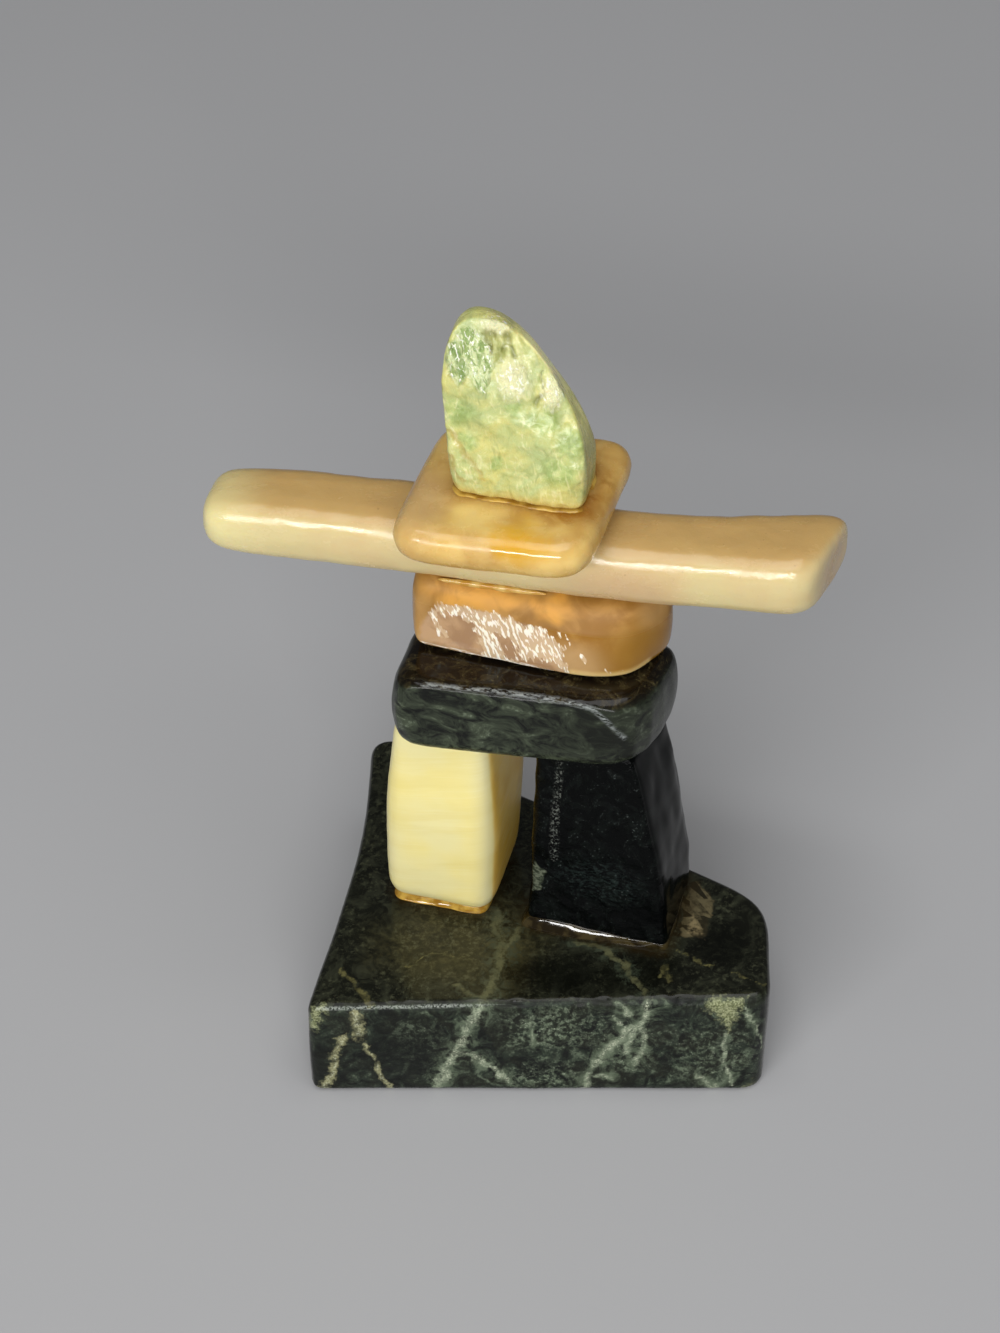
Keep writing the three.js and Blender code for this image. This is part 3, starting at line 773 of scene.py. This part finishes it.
def base_marks(points, normals):
    jagged = shaken(shaken(points, 2.2, 0.35, 4), 0.8, 0.22, 7)
    sheet = unrolled(jagged)
    legs = np.minimum(from_foot(points, "left_leg"), from_foot(points, "right_leg"))
    up = facing(normals, (0, 0, 1), 0.3, 0.8)
    granular = np.maximum(any_near(points, GRANULAR), 0.5 * any_near(points, LESS_GRANULAR))
    return {
        "sawn": facing(normals, (0, -1, 0), 0.3, 0.75),
        "vein": np.minimum(from_bands(sheet, VEINS), VEIN_LIMIT),
        "warm_vein": np.minimum(from_bands(sheet, WARM_VEINS), VEIN_LIMIT),
        "patch": -inside_any(sheet, PALE_CORNERS),
        "inclusion": -inside(unrolled(shaken(points, 1.5, 0.2, 5)), INCLUSION) + (1 - up) * 3,
        "glassy": smooth_step(inside(unrolled(points), GLASSY), 0, 0.4),
        "olive": any_near(shaken(points, 5, 1.5, 9), OLIVE),
        "granular": 0.12 + 0.88 * granular,
        "glue": legs + (1 - up) * 9,
        "shade": any_near(points, SHADED),
        # The distance to the front-top edge grows towards +X, so that its painted highlight fades
        # there
        "arris": from_path(points, FRONT_EDGE) + smooth_step(points[:, 0], -12, 6) * 0.4,
    }


# Legs


def left_leg_rise(points, normals):
    return 0.1 * lumps(points, 7, 10) + 0.015 * lumps(points, 1.4, 11)


def left_leg_marks(points, normals):
    front = facing(normals, (-0.26, -0.97, 0), 0.3, 0.8)
    return {
        "side": facing(normals, (0.97, -0.26, 0), 0.86, 0.995),
        # A painted sheen on the front, towards its right edge
        "pale": smooth_step(points[:, 0], -8.5, -4.5) * front,
        "foot": points[:, 2] - low_end("left_leg"),
    }


RIGHT_LEG_FRONT = (-0.29, -0.96, 0)
# A worn line of small chips, pitted in relief and painted with pale specks, partly painted glints
WORN_LINE = [(2.7, -8.6, 41.6), (2.2, -9.6, 34.3), (2.1, -10.5, 27.6)]
FLECK = [(-1.6, 25.2), (0.1, 26.6), (1.3, 25.2), (0.9, 22.4), (-0.4, 21.6), (-1, 23.4)]


def right_leg_rise(points, normals):
    front = facing(normals, RIGHT_LEG_FRONT, 0.5, 0.9)
    pits = np.clip(lumps(points, 0.4, 12) - 0.05, 0, 1) * 0.1
    worn = 1 - smooth_step(from_path(points, WORN_LINE), 0.2, 0.8)
    fine = 0.06 * (lumps(points, 1.4, 14) + crests(points, 2.4, 15))
    fine += 0.03 * lumps(points, 0.7, 42)
    uneven = 0.12 * lumps(points, 7, 13) + 0.1 * lumps(points, 2.8, 43) + fine * front
    return uneven - pits * worn * front


def right_leg_marks(points, normals):
    front = facing(normals, RIGHT_LEG_FRONT, 0.3, 0.8)
    return {
        "front": front,
        "worn": from_path(points, WORN_LINE) / 0.7 + (1 - front) * 2,
        "band": near(points, (7.5, -12.5, 25.5), (8, 6, 4.5)) * front,
        "fleck": -inside(seen_flat(shaken(points, 1.0, 0.2, 16)), FLECK) + (1 - front) * 2,
    }


# Lintel

LINTEL_FRONT = (-0.13, -0.99, 0)
# The top front edge: scratched white, and painted with a highlight
LINTEL_EDGE = [
    (-13.2, -8.7, 54.4), (-6, -9.7, 54.4), (3, -11.4, 54.2), (6, -12.3, 53.8), (8, -12.8, 52),
    (10, -12.7, 49.5),
]


def lintel_rise(points, normals):
    front = facing(normals, LINTEL_FRONT, 0.5, 0.9)
    edge = 1 - smooth_step(from_path(points, LINTEL_EDGE), 0.2, 0.8)
    nicks = np.clip(lumps(points, 0.7, 17), 0, 1) * edge
    return 0.12 * lumps(points, 6, 18) + 0.03 * lumps(points, 1.2, 19) * front - 0.12 * nicks


def lintel_marks(points, normals):
    return {
        "front": 1 - facing(normals, (0, 0, 1), 0.4, 0.85),
        "foot": points[:, 2] - low_end("lintel"),
        "arris": from_path(points, LINTEL_EDGE) / 0.55,
        "right": smooth_step(points[:, 0], -2, 6),
    }


# Torso

TORSO_FRONT = (-0.3, -0.93, 0.2)
CHIP = [
    (-12.4, 59.9), (-11.5, 61), (-6.3, 61.3), (0.3, 60.6), (2.5, 58.7), (3.6, 54.5), (-14.2, 54.5),
    (-13.6, 57.8),
]
SMOOTH_PATCHES = [
    [(-11.2, 59.7), (-9.5, 60), (-7.8, 59.2), (-6.9, 58), (-6.3, 54), (-16, 54), (-14.4, 61),
     (-12.4, 59), (-11.4, 57)],
    [(-4.7, 58.6), (-3.4, 58.6), (-2.5, 57.4), (-2.1, 56), (-3.4, 56), (-4.2, 57.3)],
    [(-1.9, 56), (0.5, 56.5), (2, 56.4), (3, 55.4), (3, 53), (-6, 53), (-2.5, 55.3)],
]
LEFT_STRIP = [(-12.2, 60.2), (-11.6, 58.5), (-10.8, 56.9)]
STRIP_HALF_WIDTH = 0.22
SCRATCH_MARKS = [
    [(2.4, 60.2), (3.6, 59.5)],
    [(5, 58), (5.3, 57.6)],
    [(7.6, 56.5), (8.1, 55.8)],
    [(9.8, 56), (12.8, 56.4)],
]
SCRATCH_HALF_WIDTH = 0.1
# The lower right edge, along which a thin highlight is painted
THIN_EDGE = [(4, -8.2, 55.3), (9, -8.4, 55.3), (12.5, -6.5, 55.6)]
CHIP_RIM = [(-13.9, -2.7, 55.2), (-8.6, -4.5, 55.2), (-2.6, -6.4, 55.2), (1.6, -7.6, 55.2)]
ORANGE = [((-7, -3, 62.8), (9, 4, 2.8)), ((2, -5, 62.8), (5, 3, 1.8))]
GREY_ENDS = [((13, -4, 62.5), (3, 6, 3)), ((-13.5, 0, 58), (3, 6, 5))]


def torso_rise(points, normals):
    front = facing(normals, TORSO_FRONT, 0.8, 0.97)
    chipped = smooth_step(inside(seen_flat(points), CHIP), 0, 0.3) * front
    return 0.12 * lumps(points, 5, 20) * (1 - chipped) - 0.1 * chipped


def torso_marks(points, normals):
    front = facing(normals, TORSO_FRONT, 0.55, 0.85)
    flat = seen_flat(shaken(points, 0.7, 0.12, 21))
    scratched = np.minimum(inside(flat, CHIP), -inside_any(flat, SMOOTH_PATCHES))
    scratched = np.maximum(scratched, STRIP_HALF_WIDTH - from_path(flat, LEFT_STRIP))
    scratched = np.maximum(scratched, SCRATCH_HALF_WIDTH - from_any(flat, SCRATCH_MARKS))
    return {
        "chip": inside(flat, CHIP) - (1 - front) * 3,
        "scratched": scratched - (1 - front) * 3,
        "rim": from_path(points, CHIP_RIM),
        "thin": 1 - smooth_step(from_path(points, THIN_EDGE), 0.2, 1.1),
        "dull": smooth_step(points[:, 2], 59.8, 61.8),
        "low": near(points, (4.5, -8, 56.8), (6, 6, 3.8)),
        "gold": near(points, (12, -6.5, 58), (8, 10, 6)),
        "orange": any_near(shaken(points, 2, 0.8, 29), ORANGE),
        "grey": any_near(points, GREY_ENDS),
    }


# Arms

# Soft balls where the arms are pinker and darker: their own tone, with painted shade in the middle
# of the front
PINK = [((9, -6, 67), (11, 8, 6)), ((33, -4, 68), (5, 7, 6))]


def arms_rise(points, normals):
    uneven = 0.14 * lumps(points, 9, 22) + 0.05 * lumps(points, 3, 23)
    return uneven + 0.015 * lumps(points, 1.2, 24)


def arms_marks(points, normals):
    return {
        "tan_and_shaded_top": facing(normals, (0, 0.25, 0.97), 0.2, 1.0),
        "pink_and_shade": any_near(points, PINK),
        "left_end": smooth_step(points[:, 0], -29, -38),
    }


# Neck slab

PALE_CLOUD = [(-9, -6, 78), (-5, -10.5, 78), (0, -13, 76.5), (6, -12.5, 75)]
BROWN = [((2, -7.6, 78), (8, 3, 2)), ((8.5, -3, 77.5), (4, 9, 3))]


def neck_rise(points, normals):
    return 0.1 * lumps(points, 6, 25) + 0.02 * lumps(points, 2, 26)


def neck_marks(points, normals):
    below = smooth_step(points[:, 2], 77.6, 76)
    left = smooth_step(points[:, 0], 1, -6)
    return {
        "gold": from_middle(points, (-2.6, -10.6, 77.4), (3.6, 3.6, 3)),
        "pale": 1 - smooth_step(from_path(shaken(points, 3, 1.0, 28), PALE_CLOUD), 0.3, 2.8),
        "brown": any_near(shaken(points, 3, 1.0, 27), BROWN),
        "grey": near(points, (-13.5, -4, 77), (5, 9, 4)),
        "glue": from_foot(points, "head") + below * 4 + left * 1.2,
    }


# Head

HEAD_FRONT = (-0.24, -0.94, 0.25)
FLAKED = [
    (-8.7, 97.8), (-7.5, 98.2), (-6.1, 97.4), (-5.2, 96), (-4.9, 94), (-5.8, 92), (-5.9, 90.6),
    (-7, 91.8), (-7.9, 93), (-8.9, 91.8), (-10.3, 93.5), (-10.3, 96),
]
STREAK = [(-9.2, 96), (-8.9, 94.3), (-8.2, 92.9)]
HOLLOW = [(-5.6, 97), (-4.9, 96.1), (-4.4, 95.2)]

# Half width and course of each fissure
FISSURES = [
    (0.35, [(-3.5, 96.9), (-3.6, 96.2), (-4.2, 95.7)]),
    (0.22, [(-3.4, 95.9), (-2.7, 94.9)]),
    (0.1, [(0.2, 93.6), (0.2, 92)]),
    (0.36, [(0, 91), (-0.6, 90.4)]),
]
BULGE = [
    (-4.5, 91), (-4.3, 92.6), (-3.3, 94.2), (-1.6, 94.5), (-0.1, 93.7), (-0.6, 92), (-1.5, 90.5),
    (-3, 89.8),
]
LOW_CHIPS = [
    [(-9.8, 86.1), (-8.8, 84.5), (-7.7, 82.9), (-6.4, 81)],
    [(-9.8, 82.9), (-9.3, 81.2), (-8.4, 80)],
]
# Soft balls where the front has a painted sheen and glints, and sharper relief
SPARKLING = [
    ((-3, -1.5, 92.5), (2.6, 3, 3.4)),
    ((-4.8, 1, 98), (2.6, 3, 1.4)),
    ((1.2, -2.6, 91.4), (1.6, 3, 2.6)),
]
MINT = [
    ((0.7, -3.9, 88.4), (2.6, 4, 2.2)),
    ((3.4, -4.9, 86.3), (2.4, 4, 2.6)),
    ((2.2, -5.4, 83), (2.8, 3, 2.6)),
    ((-8.8, -2.5, 88.8), (2, 3, 3)),
    ((-4.6, -4.3, 82.8), (1.5, 2, 1.2)),
    ((-2.8, -3.3, 90), (1.5, 2, 0.9)),
    ((-8, -3.2, 85.2), (1.6, 2, 1.2)),
]


def flaked_share(points, normals):
    flat = seen_flat(shaken(points, 0.8, 0.15, 30))
    return smooth_step(inside(flat, FLAKED), -0.1, 0.4) * facing(normals, HEAD_FRONT, 0.3, 0.8)


def fissure_share(points):
    flat = seen_flat(shaken(points, 1.1, 0.2, 41))
    return 1 - smooth_step(from_bands(flat, FISSURES), 0, 1.6)


def jagged_flat(points):
    """The points as seen straight from the front, moved about so that marks get jagged edges"""
    return seen_flat(shaken(points, 0.9, 0.3, 44))


def drawn_up(points):
    """The points in axes in which patterns get longer upwards and lean to the left"""
    return points * np.array((1, 1, 0.35)) + points[:, [2, 0, 1]] * np.array((0.12, 0, 0))


def head_rise(points, normals):
    flaked = flaked_share(points, normals)
    front = facing(normals, HEAD_FRONT, 0.3, 0.85)
    flat = jagged_flat(points)
    upright = drawn_up(points)
    flakes = crests(upright, 0.5, 31)
    hollow = 1 - smooth_step(from_path(flat, HOLLOW), 0.1, 0.9)
    chips = 1 - smooth_step(from_any(flat, LOW_CHIPS), 0.05, 0.4)
    bulge = smooth_step(inside(flat, BULGE), -0.5, 1.1)
    sparkling = any_near(points, SPARKLING) * crests(upright, 0.7, 32)
    broken = 0.2 * lumps(points, 2.6, 33) + 0.1 * crests(points, 1.6, 34)
    broken += 0.03 * lumps(points, 0.6, 35)
    rise = broken + (0.26 * flakes - 0.34) * flaked + 0.4 * bulge + 0.12 * sparkling
    rise -= 0.45 * hollow + 0.1 * chips + 0.3 * fissure_share(points)
    return 0.12 * lumps(points, 5, 36) + rise * front


def head_marks(points, normals):
    flat = jagged_flat(points)
    front = facing(normals, HEAD_FRONT, 0, 0.5)
    mint = any_near(shaken(points, 1.2, 0.5, 37), MINT)
    mint_behind = smooth_step(lumps(points, 4, 38), 0.1, 0.8) * (1 - front)
    right_rim = facing(normals, (0.6, 0.35, 0.7), 0.35, 0.85)
    left_rim = facing(normals, (-0.75, 0.3, 0.6), 0.6, 0.95)
    return {
        "flaked": flaked_share(points, normals),
        "streak": (1 - smooth_step(from_path(flat, STREAK), 0.2, 0.8)) * front,
        "hollow": (1 - smooth_step(from_path(flat, HOLLOW), 0.3, 1.1)) * front,
        "pits": fissure_share(points) * front,
        "bright": any_near(points, SPARKLING),
        "rim": np.maximum(right_rim, 0.8 * left_rim),
        "low_rim": smooth_step(points[:, 2], 87.5, 82.5),
        "rim_painted_light": near(points, (0.5, 1, 94), (5, 7, 6)),
        "mint": np.maximum(mint, mint_behind),
        "chips": (1 - smooth_step(from_any(flat, LOW_CHIPS), 0.05, 0.6)) * front,
        "foot": points[:, 2] - low_end("head"),
    }


# Glue

# A bead around a foot: its steps around the foot and up its face
BEAD_STEPS = 180
FACE_STEPS = 7

# How uneven it is and how much it thickens one way, in shares of its size, and the power that
# keeps the thick part short
BEAD_UNEVENNESS = 0.25
BEAD_THICKENING = 0.6
THICK_POWER = 8

# Its section, in mm: how far it goes into the stone at its foot and at its top, how far it sinks
# into the stone below at its back and at its edge, and how much its face bulges
INTO_FOOT = 0.7
INTO_WALL = 0.5
SUNK_BACK = 0.15
SUNK_EDGE = 0.12
FACE_BULGE = 0.05
TOP_TUCK = 0.05

# Where the stone's wall and the stone below are felt for, in mm: heights above the stone's low
# end, and a distance out that lies beyond every wall
WALL_LEVEL = 0.6
CLEAR_LEVEL = 3
REACH = 30

# A bead along a seam: its steps along the seam and around itself, how uneven it is in shares of
# its size, and the power that keeps its ends blunt
SEAM_STEPS = 60
SEAM_SIDES = 10
SEAM_UNEVENNESS = 0.35
END_POWER = 0.4


def surface_of(piece):
    return BVHTree.FromObject(piece, bpy.context.evaluated_depsgraph_get())


def wall_distance(surface, middle, way, height):
    """How far a stone's wall is from its middle, in mm, along a level way at a height"""
    start = Vector((*(middle + way * REACH), height))
    place = surface.ray_cast(start * MM, Vector((-way[0], -way[1], 0)))[0]
    return (Vector((*middle, height)) - place / MM).length


def ring_faces(rings, looped):
    """The faces between neighbouring rings: a loop, or a tube with two flat ends"""
    count = len(rings[0])
    size = len(rings) * count
    faces = [] if looped else [tuple(range(count)), tuple(reversed(range(size - count, size)))]
    for i in range(len(rings) if looped else len(rings) - 1):
        here = i * count
        ahead = (here + count) % size
        for k in range(count):
            beside = (k + 1) % count
            faces.append((here + k, ahead + k, ahead + beside, here + beside))
    return faces


def glue_piece(name, rings, looped, material):
    """Glue through rings of equally many points in mm"""
    mesh = bpy.data.meshes.new(name)
    points = [Vector(point) * MM for ring in rings for point in ring]
    mesh.from_pydata(points, [], ring_faces(rings, looped))
    mesh.shade_smooth()
    mesh.materials.append(material)
    piece = link(bpy.data.objects.new(name, mesh))
    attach(piece, "root")


def foot_bead(name, stone, ground, node, height, width, thick_way, material, seed):
    """A fillet of glue around a stone's foot, from its wall to the stone below, thicker one way"""
    wall = surface_of(stone)
    floor = surface_of(ground)
    middle = np.mean(foot_outline(node), axis=0)
    level = low_end(node)
    rings = []
    for i in range(BEAD_STEPS):
        angle = 2 * math.pi * i / BEAD_STEPS
        way = np.array((math.cos(angle), math.sin(angle)))
        thicker = max(0, math.cos(angle - math.radians(thick_way))) ** THICK_POWER
        uneven = BEAD_UNEVENNESS * noise.noise(Vector((*(way * 3), seed)))
        swell = 1 + uneven + BEAD_THICKENING * thicker
        top = height * swell
        low_wall = wall_distance(wall, middle, way, level + WALL_LEVEL)
        outer = low_wall + width * swell
        above = Vector((*(middle + way * outer), level + CLEAR_LEVEL))
        ground_height = floor.ray_cast(above * MM, Vector((0, 0, -1)))[0].z / MM
        upper_wall = wall_distance(wall, middle, way, ground_height + top)
        section = [(low_wall - INTO_FOOT, -SUNK_BACK), (outer, -SUNK_EDGE)]
        for k in range(FACE_STEPS):
            share = k / (FACE_STEPS - 1)
            bulge = FACE_BULGE * math.sin(math.pi * share)
            section.append((outer + (upper_wall - outer) * share + bulge, top * share + bulge))
        section.append((upper_wall - INTO_WALL, top - TOP_TUCK))
        rings.append([(*(middle + way * out), ground_height + up) for out, up in section])
    glue_piece(name, rings, True, material)


def seam_bead(name, start, end, radius, material, seed):
    """A thin, uneven line of glue between two places, tapered at both of its ends"""
    start, end = Vector(start), Vector(end)
    along = (end - start).normalized()
    across = along.cross(Vector((0, 0, 1))).normalized()
    rings = []
    for i in range(SEAM_STEPS):
        share = (i + 0.5) / SEAM_STEPS
        thick = radius * math.sin(math.pi * share) ** END_POWER
        thick *= 1 + SEAM_UNEVENNESS * noise.noise(Vector((share * 9, seed, 0)))
        middle = start.lerp(end, share)
        rings.append([
            middle + (across * math.cos(angle) + Vector((0, 0, 1)) * math.sin(angle)) * thick
            for angle in (2 * math.pi * k / SEAM_SIDES for k in range(SEAM_SIDES))
        ])
    glue_piece(name, rings, False, material)


camera()
studio()

base = fine_stone(
    "base", serpentine(), base_rise, base_marks,
    face=0.32, softness=0.45,
)
left_leg = fine_stone(
    "left_leg", cream_calcite(), left_leg_rise, left_leg_marks,
    face=0.24, softness=0.95,
)
right_leg = fine_stone(
    "right_leg", black_stone(), right_leg_rise, right_leg_marks,
    face=0.24, softness=0.45,
)
fine_stone(
    "lintel", dark_serpentine(), lintel_rise, lintel_marks,
    face=0.22, softness=0.6,
)
fine_stone(
    "torso", amber_calcite(), torso_rise, torso_marks,
    face=0.2, softness=1.2,
)
fine_stone(
    "arms", peach_calcite(), arms_rise, arms_marks,
    face=0.26, softness=0.9,
)
neck_slab = fine_stone(
    "neck_slab", honey_calcite(), neck_rise, neck_marks,
    face=0.24, softness=0.9,
)
head = fine_stone(
    "head", green_stone(), head_rise, head_marks,
    face=0.16, softness=0.6,
)

amber_glue = clear_glue("amber_glue", srgb(232, 190, 86), srgb(178, 130, 42))
golden_glue = clear_glue("golden_glue", srgb(246, 208, 120), srgb(214, 160, 62))
dark_glue = clear_glue("dark_glue", srgb(70, 60, 34), srgb(34, 26, 10))
foot_bead(
    "glue_left_leg", left_leg, base, "left_leg",
    height=0.7, width=0.55, thick_way=-45, material=amber_glue, seed=1,
)
foot_bead(
    "glue_right_leg", right_leg, base, "right_leg",
    height=0.9, width=0.75, thick_way=-140, material=dark_glue, seed=2,
)
foot_bead(
    "glue_head", head, neck_slab, "head",
    height=0.24, width=0.14, thick_way=10, material=amber_glue, seed=3,
)
seam_bead(
    "glue_torso", (-11.6, -1.2, 63.85), (1.0, -3.9, 63.85),
    radius=0.42, material=golden_glue, seed=4,
)
seam_bead(
    "glue_neck", (8.0, 1.0, 72.4), (5.8, -5.2, 72.3),
    radius=0.35, material=golden_glue, seed=5,
)
